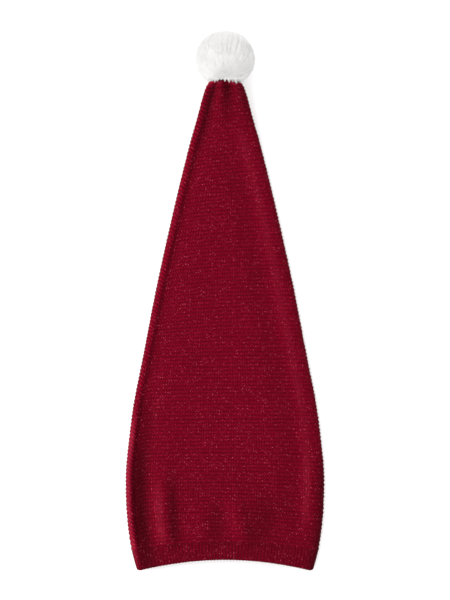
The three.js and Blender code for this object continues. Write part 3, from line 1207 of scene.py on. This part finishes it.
@dataclass
class RibBand:
    """The 1x1 ribbed band at the mouth: raised columns of stitches with valleys between them."""

    form: LyingForm
    finish: KnitFinish
    rib: float = 0.0044
    stitch: float = 0.0038
    cloth: float = 0.0024
    rib_height: float = 0.0008
    chevron_height: float = 0.0004
    chevron_slope: float = 1.1
    columns_per_rib: int = 8
    rows_per_stitch: int = 6
    rows_per_inner_row: int = 3
    rim: float = 0.0012
    rim_bump: float = 0.0004
    rim_levels: Span = (0.7, 0.3)
    # Painted shade in the valleys between the ribs and between the stitches of a rib, and painted light on
    # the raised ribs.
    valley_painted_shade: float = 0.24
    rib_painted_light: float = 0.36
    chevron_painted_shade: float = 0.3

    def laps(self) -> tuple[Array, Array]:
        """The columns of the band.

        Returns:
            How far round each column lies, and its place in ribs.
        """
        straight, bend = self.form.band_ring(np.array([0.5])).stretches()
        ribs = 2 * round((straight + bend) / self.rib)
        ends = np.cumsum([0.0, straight, bend, straight, bend])
        count = np.arange(ribs * self.columns_per_rib + 1)
        lap = np.interp(count / count[-1] * ends[-1], ends, np.arange(LAPS + 1))
        return lap, count / self.columns_per_rib

    def lattice(self) -> Patch:
        """The lattice of the band, from its lower edge up the outer side and down the inner side.

        Returns:
            The lattice, whose first row comes again as its last.
        """
        lap, rib = self.laps()
        depth = self.form.band_depth
        rows = round(depth / self.stitch) * self.rows_per_stitch
        edge = 1.0 - self.rim / depth
        outer = np.linspace(edge, 0.0, rows + 1)
        inner = np.linspace(0.0, edge, rows // self.rows_per_inner_row + 1)
        thick = self.cloth + self.rib_height
        share = np.concatenate([outer, [0.0], inner, [1.0, 1.0], [edge]])
        level = np.concatenate([0 * outer, [0.5], 0 * inner + 1, self.rim_levels, [0]])
        share, level = (np.repeat(row[:, None], len(lap), axis=1) for row in (share, level))
        laps = np.broadcast_to(lap, share.shape)
        ribs = np.broadcast_to(rib, share.shape)
        ring = self.form.band_ring(share)
        stitches = share * depth / self.stitch
        raised = wave(ribs)
        chevron = wave(stitches - self.chevron_slope * np.abs(ribs - np.round(ribs)))
        outside = smoothstep(-level, -0.5, 0.0)
        inside = smoothstep(level, 0.5, 1.0)
        dip = self.rib_height * (1 - raised) + self.chevron_height * (1 - chevron) * raised
        inset = level * thick + dip * outside - self.rib_height * (1 - raised) * inside
        points = self.form.point(ring, laps, inset)
        points[..., 1] -= self.rim_bump * raised * smoothstep(share, edge, 1.0)
        points[..., 2] = np.maximum(points[..., 2], 0.0)
        points[:, -1] = points[:, 0]
        points[-1] = points[0]
        # The ribs' painted light and shade, kept as their depth, and the painted light and shade of the
        # folds.
        shade = self.valley_painted_shade + self.rib_painted_light * raised
        shade = shade * lerp(1.0 - self.chevron_painted_shade, 1.0, chevron)
        fold = self.form.painted_fold_shading(ring, laps, inset)
        return Patch(points, np.stack([ribs, stitches], axis=-1), shade, fold, 0 * fold)

    def build(self) -> bpy.types.Object:
        """Returns:
            The piece.
        """
        piece = lattice_object("rib_knit_band", [self.lattice()])
        piece.data.materials.append(self.finish.material())
        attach(piece, BODY)
        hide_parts("rib_band")
        girth = float(np.mean(self.form.band_ring(np.array([0.0, 1.0])).girth))
        return piece


@dataclass(frozen=True)
class FringeLock:
    """A spiky lock that hangs over the knit.

    Its place across, how far it falls from the middle of the ball and its half width are shares of
    the ball's radius.
    """

    across: float
    fall: float
    half_width: float


@dataclass(frozen=True)
class Fringe:
    """The locks that hang over the end of the knit, in shares of the ball's radius."""

    hairs: int = 110
    point: float = 1.5
    spread: float = 1.2
    ragged: float = 0.07
    knit_end: float = 0.984
    clearance: float = 0.002
    share: float = 0.95
    root_depth: float = 0.1
    root_narrowing: float = 0.85
    root_scatter: float = 0.03
    rise: Span = (0.7, 1.3)
    bend: float = 0.72
    # The fringe's tone stays below the fur's as painted shade, so that its flat-lying hairs look no lighter
    # than the fur, with more painted shade towards the right.
    tone: Span = (0.22, 0.72)
    lock_tone: float = 0.15
    painted_shade_right: float = 0.45
    seed: int = 11

    LOCKS = (
        FringeLock(across=-0.52, fall=0.7, half_width=0.05),
        FringeLock(across=-0.43, fall=0.73, half_width=0.05),
        FringeLock(across=-0.34, fall=0.77, half_width=0.05),
        FringeLock(across=-0.25, fall=0.745, half_width=0.05),
        FringeLock(across=-0.13, fall=0.71, half_width=0.06),
        FringeLock(across=0.0, fall=0.755, half_width=0.08),
        FringeLock(across=0.14, fall=0.785, half_width=0.07),
        FringeLock(across=0.26, fall=0.76, half_width=0.06),
        FringeLock(across=0.38, fall=0.83, half_width=0.07),
        FringeLock(across=0.48, fall=0.77, half_width=0.05),
        FringeLock(across=0.56, fall=0.78, half_width=0.06),
    )


@dataclass(frozen=True)
class Streaks:
    """Soft streaks in the fur, which fan out from a place above the neck and are clearer on the right: they
    lift the hair a little and give it painted light and shade.
    """

    number: int = 24
    fan: Direction = (-0.05, -0.6, 0.8)
    waves: tuple[int, int] = (18, 64)
    bend: float = 4.0
    least: float = 0.25
    across: Span = (-0.3, 0.4)
    outwards: Span = (0.25, 0.8)
    seed: int = 10

    def at(self, tips: Array) -> Array:
        """How strong they are at the tips of hairs.

        Args:
            tips: The directions of the hair tips.

        Returns:
            Their value at each tip, mostly from -1 to 1.
        """
        random = np.random.default_rng(self.seed)
        fan = unit(np.array(self.fan))
        side = unit(np.cross(fan, (0.0, 0.0, 1.0)))
        turn = np.arctan2(tips @ np.cross(fan, side), tips @ side)
        polar = angles(tips, self.fan)
        counts = random.integers(*self.waves, self.number)
        bends = random.uniform(-self.bend, self.bend, self.number)
        phases = random.uniform(0, 2 * math.pi, self.number)
        waves = np.cos(turn[:, None] * counts + polar[:, None] * bends + phases)
        clear = lerp(self.least, 1.0, smoothstep(tips[:, 0], *self.across))
        clear *= smoothstep(polar, *self.outwards)
        return clear * waves.sum(axis=1) / math.sqrt(self.number)


@dataclass(frozen=True)
class Hair:
    """One hair of the fur: a thin closed cone that can bend in its middle."""

    radius: float = 0.00045
    radius_spread: float = 0.3
    sides: int = 3
    taper: float = 0.12
    belly: float = 1.25
    # Painted shade: how grey a hair is at its root, as a share of its tip.
    root_painted_shade: float = 0.8
    off_axis: float = 1e-4

    def template(self) -> tuple[Array, list[tuple[int, ...]]]:
        """The hair upright, a unit high.

        Returns:
            Its points, with z from 0 at the root to 1 at the tip, and its faces.
        """
        hair = bmesh.new()
        bmesh.ops.create_cone(
            hair, cap_ends=True, segments=self.sides, radius1=1.0, radius2=self.taper, depth=1.0
        )
        halfway = (0.0, 0.0, 0.5)
        bmesh.ops.translate(hair, verts=hair.verts, vec=halfway)
        whole = list(hair.verts) + list(hair.edges) + list(hair.faces)
        bmesh.ops.bisect_plane(hair, geom=whole, plane_co=halfway, plane_no=(0.0, 0.0, 1.0))
        bmesh.ops.recalc_face_normals(hair, faces=hair.faces)
        hair.verts.index_update()
        points = np.array([vert.co[:] for vert in hair.verts])
        faces = [tuple(vert.index for vert in face.verts) for face in hair.faces]
        hair.free()
        middle = np.isclose(points[:, 2], halfway[2])
        points[middle, :2] *= self.belly
        return points, faces


@dataclass
class FurPompom:
    """The ball of white fake fur: a padded head with its hair combed outwards and trimmed round."""

    form: LyingForm
    finish: FurFinish
    radius: float
    centre: Vector
    strand: Hair = Hair()
    streaks: Streaks = Streaks()
    hanging: Fringe = Fringe()
    press: float = 0.87
    head_share: float = 0.88
    head_press: float = 0.18
    head_levels: int = 5
    head_waves: int = 24
    head_wave_turns: Span = (9, 16)
    head_swell: float = 0.02
    head_bare: Span = (0.5, 0.95)
    head_tone: float = 0.7
    hairs: int = 25000
    clumps: int = 900
    clumping: float = 0.12
    clumping_least: float = 0.4
    tip_scatter: float = 0.012
    root_share: float = 0.84
    root_scatter: float = 0.05
    reach: float = 0.985
    reach_scatter: float = 0.015
    bend_share: float = 0.99
    comb: float = 0.62
    comb_range: Span = (0.6, 1.15)
    pole: Direction = (-0.1, -0.87, 0.48)
    neck: Direction = (0.0, -0.988, 0.15)
    neck_half_angle: float = 0.62
    fur_end: float = 0.67
    fur_end_scatter: float = 0.04
    tone: float = 0.85
    tone_scatter: float = 0.12
    streak_lift: float = 0.012
    # How much painted light and shade the streaks give the hair.
    streak_painted_shading: float = 0.28
    strays: float = 0.03
    stray_reach: float = 0.035
    knit_end: float = 0.985
    knit_margin: float = 0.004
    knit_clearance: float = 0.0015
    seed: int = 5

    def place(self, directions: Array, share: Array) -> Array:
        """Places in the ball, with the pressed side at the tip of the crown.

        Args:
            directions: Directions from the middle.
            share: How far out, as a share of the radius.

        Returns:
            The places.
        """
        offset = directions * (self.radius * share)[..., None]
        offset[..., 1] = np.where(offset[..., 1] < 0, offset[..., 1] * self.press, offset[..., 1])
        return offset + np.array(self.centre)

    def head(self) -> bpy.types.Object:
        """The padded head under the hair.

        Returns:
            The piece, without its finish.
        """
        mesh = bpy.data.meshes.new("pompom_head")
        ball = bmesh.new()
        bmesh.ops.create_icosphere(ball, subdivisions=self.head_levels, radius=1.0)
        ball.to_mesh(mesh)
        ball.free()
        directions = np.empty(len(mesh.vertices) * 3)
        mesh.vertices.foreach_get("co", directions)
        directions = unit(directions.reshape(-1, 3))
        random = np.random.default_rng(self.seed)
        courses = unit(random.normal(size=(self.head_waves, 3)))
        waves = courses * random.uniform(*self.head_wave_turns, (self.head_waves, 1))
        phases = random.uniform(0, 2 * math.pi, self.head_waves)
        swell = np.sin(directions @ waves.T + phases).mean(axis=1)
        bare = 1 - smoothstep(angles(directions, self.neck), *self.head_bare)
        share = self.head_share * (1 + self.head_swell * swell) - self.head_press * bare
        mesh.vertices.foreach_set("co", self.place(directions, share).ravel())
        give_values(mesh, DEPTH, np.full(len(mesh.vertices), self.head_tone))
        mesh.shade_smooth()
        return linked("pompom_head", mesh)

    def tips(self) -> Array:
        """The directions of the hair tips, evenly over the ball and drawn together in clumps.

        Returns:
            The directions, at length 1.
        """
        random = np.random.default_rng(self.seed + 1)
        count = np.arange(self.hairs)
        z = 1 - (2 * count + 1) / self.hairs
        turn = count * GOLDEN_ANGLE
        level = np.sqrt(1 - z * z)
        even = np.stack([level * np.cos(turn), level * np.sin(turn), z], axis=-1)
        even = unit(even + random.normal(scale=self.tip_scatter, size=even.shape))
        centres = unit(random.normal(size=(self.clumps, 3)))
        nearest = np.argmax(even @ centres.T, axis=1)
        pull = self.clumping * random.uniform(self.clumping_least, 1.0, (self.hairs, 1))
        return unit(lerp(even, centres[nearest], pull))

    def hair(self, name: str, tips: Array, seed: int) -> bpy.types.Object:
        """The hair of a side of the ball.

        Args:
            name: The name of the piece.
            tips: The directions of the hair tips.
            seed: Of the random lengths and bends.

        Returns:
            The piece, without its finish.
        """
        random = np.random.default_rng(seed)
        count = len(tips)
        pole = unit(np.array(self.pole))
        along = tips @ pole
        towards = unit(pole - along[:, None] * tips)
        comb = self.comb * random.uniform(*self.comb_range, count) * np.sqrt(1 - np.clip(along, -1, 1) ** 2)
        scatter = random.normal(scale=self.root_scatter, size=tips.shape)
        roots = unit(tips + towards * comb[:, None] + scatter)
        streak = self.streaks.at(tips)
        reach = random.normal(self.reach, self.reach_scatter, count) + self.streak_lift * streak
        reach += self.stray_reach * (random.uniform(0.0, 1.0, count) < self.strays)
        root = self.place(roots, np.full(count, self.root_share))
        middle = self.place(unit(tips + roots), reach * self.bend_share)
        # Each hair's tone, at random, with the painted light and shade of the streaks.
        tone = self.tone + self.streak_painted_shading * streak
        tone = np.clip(tone + random.uniform(-self.tone_scatter, self.tone_scatter, count), 0.0, 1.0)
        return self.strands(name, (root, middle, self.place(tips, reach)), tone, random)

    def strands(
        self, name: str, line: tuple[Array, Array, Array], tone: Array, random: np.random.Generator
    ) -> bpy.types.Object:
        """Many hairs as one joined mesh.

        Args:
            name: The name of the piece.
            line: Their roots, the points that they bend towards, and their tips.
            tone: How white each one is.
            random: Gives their widths.

        Returns:
            The piece, without its finish.
        """
        strand = self.strand
        count = len(tone)
        template, faces = strand.template()
        share = template[:, 2][None, :, None]
        start, bend, end = (point[:, None, :] for point in line)
        course = start * (1 - share) ** 2 + 2 * bend * share * (1 - share) + end * share**2
        forward = unit(line[2] - line[0])
        side = unit(np.cross(forward, unit(line[1] - np.array(self.centre)) + strand.off_axis))
        other = np.cross(forward, side)
        spread = strand.radius_spread
        width = strand.radius * random.uniform(1 - spread, 1 + spread, (count, 1, 1))
        points = course + width * (template[:, :1] * side[:, None, :] + template[:, 1:2] * other[:, None, :])
        points = self.over_the_knit(points)
        points[..., 2] = np.maximum(points[..., 2], 0.0)
        size = len(template)
        joined = [tuple(i + k * size for i in face) for k in range(count) for face in faces]
        mesh = bpy.data.meshes.new(name)
        mesh.from_pydata(points.reshape(-1, 3), [], joined)
        # Painted shade greys each hair towards its root.
        shade = tone[:, None] * lerp(strand.root_painted_shade, 1.0, template[:, 2])
        give_values(mesh, DEPTH, shade.ravel())
        mesh.shade_smooth()
        return linked(name, mesh)

    def fringe(self) -> bpy.types.Object:
        """The spiky locks that hang over the end of the knit.

        Returns:
            The piece, without its finish.
        """
        cut = self.hanging
        random = np.random.default_rng(cut.seed)
        lock = np.repeat(np.arange(len(cut.LOCKS)), cut.hairs)
        across, fall, half_width = (
            np.array([getattr(row, name) for row in cut.LOCKS])[lock]
            for name in ("across", "fall", "half_width")
        )
        count = len(lock)
        aside = half_width * random.triangular(-cut.spread, 0.0, cut.spread, count)
        end_x = self.radius * (across + aside)
        shorter = cut.point * np.abs(aside) + random.uniform(0.0, cut.ragged, count)
        y = self.centre.y - self.radius * (fall - shorter)
        at = (y - self.form.join_y) / self.form.crown_length
        ring = self.form.crown_ring(np.clip(at, 0.0, cut.knit_end))
        tips = np.stack([self.centre.x + end_x, y, self.knit_top(ring, end_x) + cut.clearance], axis=-1)
        scatter = random.normal(scale=cut.root_scatter, size=count)
        root_x = cut.root_narrowing * (across + aside) + scatter
        rise = random.uniform(*cut.rise, count)
        roots = unit(np.stack([root_x, -np.cos(rise), np.sin(rise)], axis=-1))
        low = rise * cut.bend
        bends = unit(np.stack([across + aside, -np.cos(low), np.sin(low)], axis=-1))
        share = np.full(count, cut.share)
        line = (self.place(roots, share - cut.root_depth), self.place(bends, share), tips)
        lock_tone = random.uniform(-cut.lock_tone, cut.lock_tone, len(cut.LOCKS))[lock]
        # Random tones, lowered by painted shade and by more of it towards the right.
        tone = random.uniform(*cut.tone, count) + lock_tone - cut.painted_shade_right * across
        return self.strands("pompom_fringe", line, tone, random)

    def knit_top(self, ring: Ring, x: Array) -> Array:
        """How high the upper side of the knit lies at places across its sections."""
        return ring.lift + self.form.top_height(ring, np.clip(x, -ring.half, ring.half))

    def over_the_knit(self, points: Array) -> Array:
        """Lifts hair that would run through the end of the crown on to its upper side.

        Args:
            points: The points of the hairs.

        Returns:
            The points, moved where they have to be.
        """
        form = self.form
        at = np.clip((points[..., 1] - form.join_y) / form.crown_length, 0.0, 1.0)
        ring = form.crown_ring(at)
        x = points[..., 0]
        inside = np.clip((ring.half - np.abs(x)) / self.knit_margin, 0.0, 1.0) * (at < self.knit_end)
        top = self.knit_top(ring, x) + self.knit_clearance
        low = ring.lift + ring.height / 2
        rise = np.where(points[..., 2] > low, np.maximum(0.0, top - points[..., 2]), 0.0)
        points[..., 2] += rise * inside
        return points

    def build(self) -> list[bpy.types.Object]:
        """Returns:
            The pieces.
        """
        tips = self.tips()
        random = np.random.default_rng(self.seed + 4)
        ends = random.normal(self.fur_end, self.fur_end_scatter, len(tips))
        over_knit = (tips[:, 1] < -ends) & (tips[:, 2] > 0)
        tips = tips[(angles(tips, self.neck) > self.neck_half_angle) & ~over_knit]
        upper = tips[:, 2] > 0
        head = self.head()
        pieces = [
            head,
            self.hair("pompom_fur_upper", tips[upper], self.seed + 2),
            self.hair("pompom_fur_lower", tips[~upper], self.seed + 3),
            self.fringe(),
        ]
        material = self.finish.material()
        for piece in pieces:
            piece.data.materials.append(material)
            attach(piece, BODY)
            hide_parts("pompom")
        return pieces


@dataclass
class Studio:
    """A pale floor, soft light from the upper left and a camera that looks straight down."""

    view_height: float = 0.8088
    lens: float = 400.0
    sensor: float = 36.0
    centre: tuple[float, float] = (0.0, 0.0007)
    outline_height: float = 0.01
    floor_size: float = 40.0
    key_place: tuple[float, float, float] = (-2.0, 0.7, 2.0)
    key_size: float = 3.2
    key_power: float = 53.0
    sky: float = 1.56

    def floor(self) -> None:
        """Lays the floor."""
        mesh = bpy.data.meshes.new("floor")
        sheet = bmesh.new()
        bmesh.ops.create_grid(sheet, x_segments=1, y_segments=1, size=self.floor_size / 2)
        sheet.to_mesh(mesh)
        sheet.free()
        mesh.materials.append(FloorFinish().material())
        linked("floor", mesh)

    def lights(self) -> None:
        """Hangs the key light and sets an even sky."""
        light = bpy.data.lights.new("key", "AREA")
        light.shape = "DISK"
        light.size = self.key_size
        light.energy = self.key_power
        key = bpy.data.objects.new("key", light)
        key.location = self.key_place
        key.rotation_euler = Vector(self.key_place).to_track_quat("Z", "Y").to_euler()
        bpy.context.collection.objects.link(key)
        world = bpy.data.worlds.new("sky")
        world.use_nodes = True
        world.node_tree.nodes["Background"].inputs["Color"].default_value = (1.0, 1.0, 1.0, 1.0)
        world.node_tree.nodes["Background"].inputs["Strength"].default_value = self.sky
        bpy.context.scene.world = world

    def camera(self) -> None:
        """Hangs the camera over the hat."""
        data = bpy.data.cameras.new("camera")
        data.lens = self.lens
        data.sensor_width = self.sensor
        camera = bpy.data.objects.new("camera", data)
        distance = self.view_height * self.lens / self.sensor
        camera.location = (*self.centre, distance + self.outline_height)
        bpy.context.collection.objects.link(camera)
        bpy.context.scene.camera = camera

    def build(self) -> None:
        """Sets up the floor, the lights, the camera and how colours are shown."""
        self.floor()
        self.lights()
        self.camera()
        bpy.context.scene.view_settings.view_transform = "Standard"


def lying_form() -> LyingForm:
    """The form of the hat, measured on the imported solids.

    Returns:
        The form.
    """
    low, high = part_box("crown")
    ball_low, ball_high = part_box("pompom")
    length = high.y - low.y - LyingForm.hem_rise * float(SECTIONS.read("arch", np.array([0.0]))[0])
    end_thickness = LyingForm.lying_height * float(SECTIONS.read("thick", np.array([1.0]))[0])
    return LyingForm(
        body_width=high.x - low.x,
        crown_length=length,
        join_y=high.y - length,
        tip_lift=(ball_high.z - ball_low.z) / 2 - end_thickness / 2,
    )


def triangles(piece: bpy.types.Object) -> int:
    """How many triangles a piece has."""
    return sum(len(polygon.vertices) - 2 for polygon in piece.data.polygons)


def main() -> None:
    """Builds the hat and the studio, and reports each piece."""
    logging.basicConfig(level=logging.INFO, format="%(name)s: %(message)s")
    form = lying_form()
    Studio().build()
    pieces = GarterCrown(form, GarterFinish("garter_knit")).build()
    pieces.append(RibBand(form, KnitFinish("rib_knit")).build())
    low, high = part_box("pompom")
    radius = (high.z - low.z) / 2
    centre = Vector((0.0, high.y - radius, radius))
    pieces += FurPompom(form, FurFinish("pompom_fur"), radius, centre).build()
    for piece in pieces:
        log.info("%s: %d triangles", piece.name, triangles(piece))
    log.info("all pieces: %d triangles", sum(triangles(piece) for piece in pieces))


if __name__ == "__main__":
    main()
